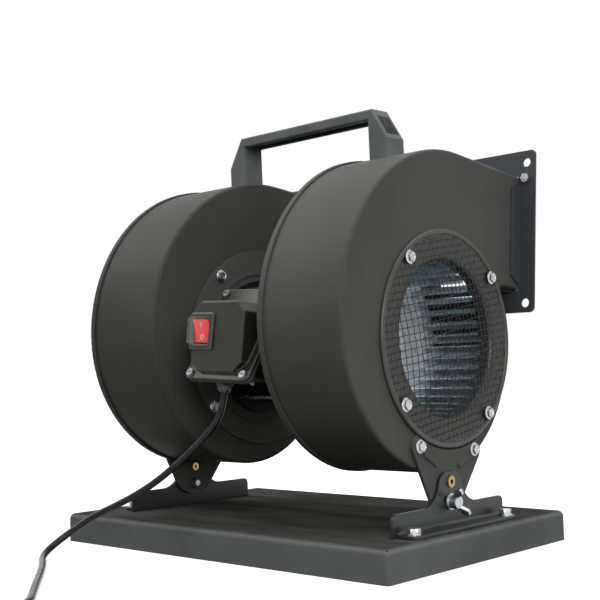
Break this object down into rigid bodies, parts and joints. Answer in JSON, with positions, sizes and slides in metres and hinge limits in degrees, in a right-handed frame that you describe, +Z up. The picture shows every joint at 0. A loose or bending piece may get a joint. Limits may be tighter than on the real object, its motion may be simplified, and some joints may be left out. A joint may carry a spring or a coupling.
{
  "type": "centrifugal fan",
  "caption": "Twin-drum radial blower on a tilting stand: a motor between scroll housings with guarded inlets, rectangular rear outlets, carrying handle, covered rocker switch and mains cord",
  "frame": {"origin": "centre of the base underside, on the floor", "axes": "+X along the shaft towards the right drum, -Y towards the switch box, +Z up"},
  "size_m": [0.4, 0.5711, 0.4009],
  "materials": {
    "powder_coat": "satin charcoal powder coat",
    "zinc_steel": "bright zinc plating",
    "yellow_zinc": "yellow passivated zinc plating",
    "galvanised_sheet": "galvanised sheet",
    "black_plastic": "fine textured black moulding",
    "red_plastic": "translucent red moulding",
    "clear_vinyl": "clear soft moulding",
    "cord_sheath": "smooth black sheath",
    "ground_steel": "ground and oiled",
    "lamination_stack": "stacked laminations, varnished",
    "enamelled_copper": "varnished winding wire",
    "seal_rubber": "flat sheet rubber",
    "white_plastic": "plain moulding"
  },
  "bodies": {
    "stand": {"base_tray": "powder_coat", "base_plate": "powder_coat", "foot_bolts": "zinc_steel", "foot_nuts": "zinc_steel", "left_foot_bracket": "powder_coat", "right_foot_bracket": "powder_coat", "pivot_rivets": "yellow_zinc", "power_cord": "cord_sheath", "cord_coil": "cord_sheath", "cord_tail": "cord_sheath", "mains_plug": "cord_sheath"},
    "blower": {"arm_fasteners": "zinc_steel", "cable_gland": "black_plastic", "capacitor": "white_plastic", "carry_handle": "black_plastic", "cover_gasket": "seal_rubber", "cover_screws": "zinc_steel", "flange_fasteners": "zinc_steel", "gland_nut": "black_plastic", "guard_fasteners": "zinc_steel", "handle_screws": "zinc_steel", "left_end_shield": "powder_coat", "left_housing_cover": "powder_coat", "left_housing_shell": "powder_coat", "left_inlet_guard": "powder_coat", "left_inlet_ring": "powder_coat", "left_motor_plate": "powder_coat", "left_outlet_flange": "powder_coat", "left_tilt_arm": "powder_coat", "motor_bearings": "ground_steel", "motor_casing": "powder_coat", "motor_plate_fasteners": "zinc_steel", "rain_cap": "clear_vinyl", "right_end_shield": "powder_coat", "right_housing_cover": "powder_coat", "right_housing_shell": "powder_coat", "right_inlet_guard": "powder_coat", "right_inlet_ring": "powder_coat", "right_motor_plate": "powder_coat", "right_outlet_flange": "powder_coat", "right_tilt_arm": "powder_coat", "stator_core": "lamination_stack", "stator_windings": "enamelled_copper", "switch_box_base": "black_plastic", "switch_box_cover": "black_plastic", "switch_frame": "black_plastic", "terminal_block": "white_plastic", "tie_bolts": "zinc_steel"},
    "rotor": {"motor_shaft": "ground_steel", "rotor_core": "lamination_stack", "grub_screws": "ground_steel", "left_impeller_disc": "galvanised_sheet", "left_impeller_blades": "galvanised_sheet", "left_impeller_ring": "galvanised_sheet", "right_impeller_disc": "galvanised_sheet", "right_impeller_blades": "galvanised_sheet", "right_impeller_ring": "galvanised_sheet"},
    "rocker": {"switch_rocker": "red_plastic"},
    "left_wing_screw": {"left_wing_screw": "zinc_steel"},
    "right_wing_screw": {"right_wing_screw": "zinc_steel"}
  },
  "joints": [
    {"name": "blower_tilt", "type": "hinge", "parent": "stand", "child": "blower", "pos_m": [0.011, -0.012, 0.0653], "axis": [1, 0, 0], "range_deg": [-19.4, 30.6], "deforming": ["power_cord"]},
    {"name": "rotor_spin", "type": "hinge", "parent": "blower", "child": "rotor", "pos_m": [0.011, -0.00007, 0.18692], "axis": [1, 0, 0], "continuous": true},
    {"name": "switch_press", "type": "hinge", "parent": "blower", "child": "rocker", "pos_m": [-0.00403, -0.12747, 0.19934], "axis": [0.9988, -0.0048, -0.0486], "range_deg": [-24, 0]},
    {"name": "left_wing_turn", "type": "hinge", "parent": "blower", "child": "left_wing_screw", "pos_m": [-0.1528, -0.01363, 0.04868], "axis": [1, 0, 0], "continuous": true},
    {"name": "right_wing_turn", "type": "hinge", "parent": "blower", "child": "right_wing_screw", "pos_m": [0.1748, -0.01363, 0.04868], "axis": [1, 0, 0], "continuous": true}
  ]
}
